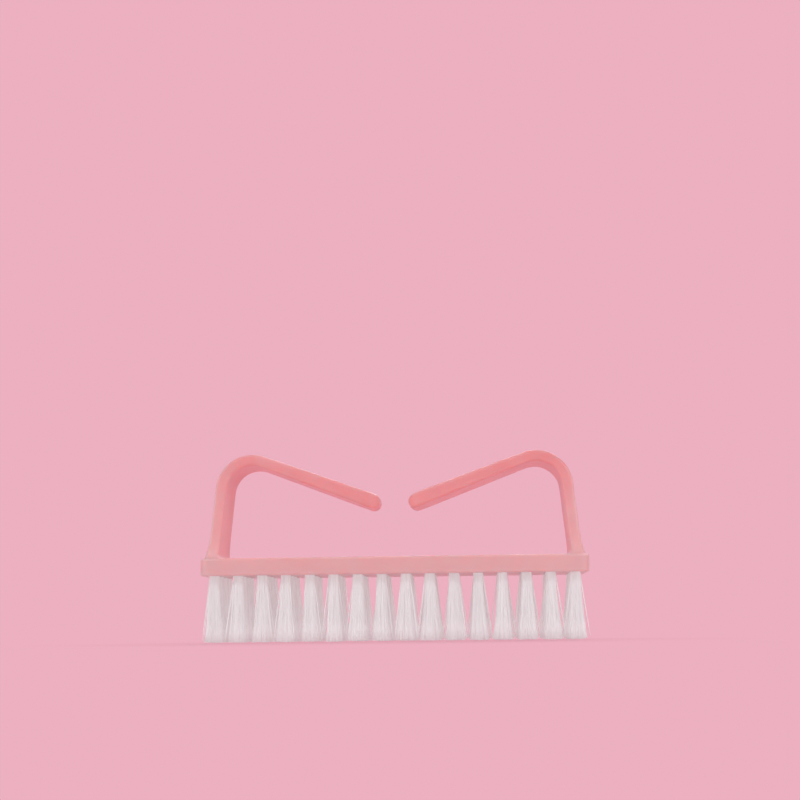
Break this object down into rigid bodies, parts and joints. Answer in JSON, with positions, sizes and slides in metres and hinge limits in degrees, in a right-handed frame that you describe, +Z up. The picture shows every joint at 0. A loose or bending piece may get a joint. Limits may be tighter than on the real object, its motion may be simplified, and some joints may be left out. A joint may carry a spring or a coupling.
{
  "type": "nail brush",
  "caption": "Nail brush: a flat bar of upright bristle tufts under an open handle of two inward-sloping arms with rounded tips, gripped by the fingers.",
  "frame": {"origin": "centre of the footprint, in the plane of the bristle tips, so the brush stands on its bristles", "axes": "+Z up from the bristle tips to the handle, X along the bar, Y across it with -Y the front"},
  "size_m": [0.0944, 0.0226, 0.0461],
  "materials": {
    "handle_plastic": "moulded translucent coral pink plastic, softly glossy",
    "bristle_nylon": "fine white nylon filaments, slightly translucent",
    "anchor_wire": "flat plated wire, cut ends"
  },
  "bodies": {
    "root": {"handle_moulding": "handle_plastic", "tufts_01": "bristle_nylon", "tufts_02": "bristle_nylon", "tufts_03": "bristle_nylon", "tufts_04": "bristle_nylon", "tufts_05": "bristle_nylon", "tufts_06": "bristle_nylon", "tufts_07": "bristle_nylon", "tufts_08": "bristle_nylon", "tufts_09": "bristle_nylon", "tufts_10": "bristle_nylon", "tufts_11": "bristle_nylon", "tufts_12": "bristle_nylon", "tufts_13": "bristle_nylon", "tufts_14": "bristle_nylon", "tufts_15": "bristle_nylon", "tufts_16": "bristle_nylon", "anchors_01": "anchor_wire", "anchors_02": "anchor_wire", "anchors_03": "anchor_wire", "anchors_04": "anchor_wire", "anchors_05": "anchor_wire", "anchors_06": "anchor_wire", "anchors_07": "anchor_wire", "anchors_08": "anchor_wire", "anchors_09": "anchor_wire", "anchors_10": "anchor_wire", "anchors_11": "anchor_wire", "anchors_12": "anchor_wire", "anchors_13": "anchor_wire", "anchors_14": "anchor_wire", "anchors_15": "anchor_wire", "anchors_16": "anchor_wire"}
  },
  "joints": []
}
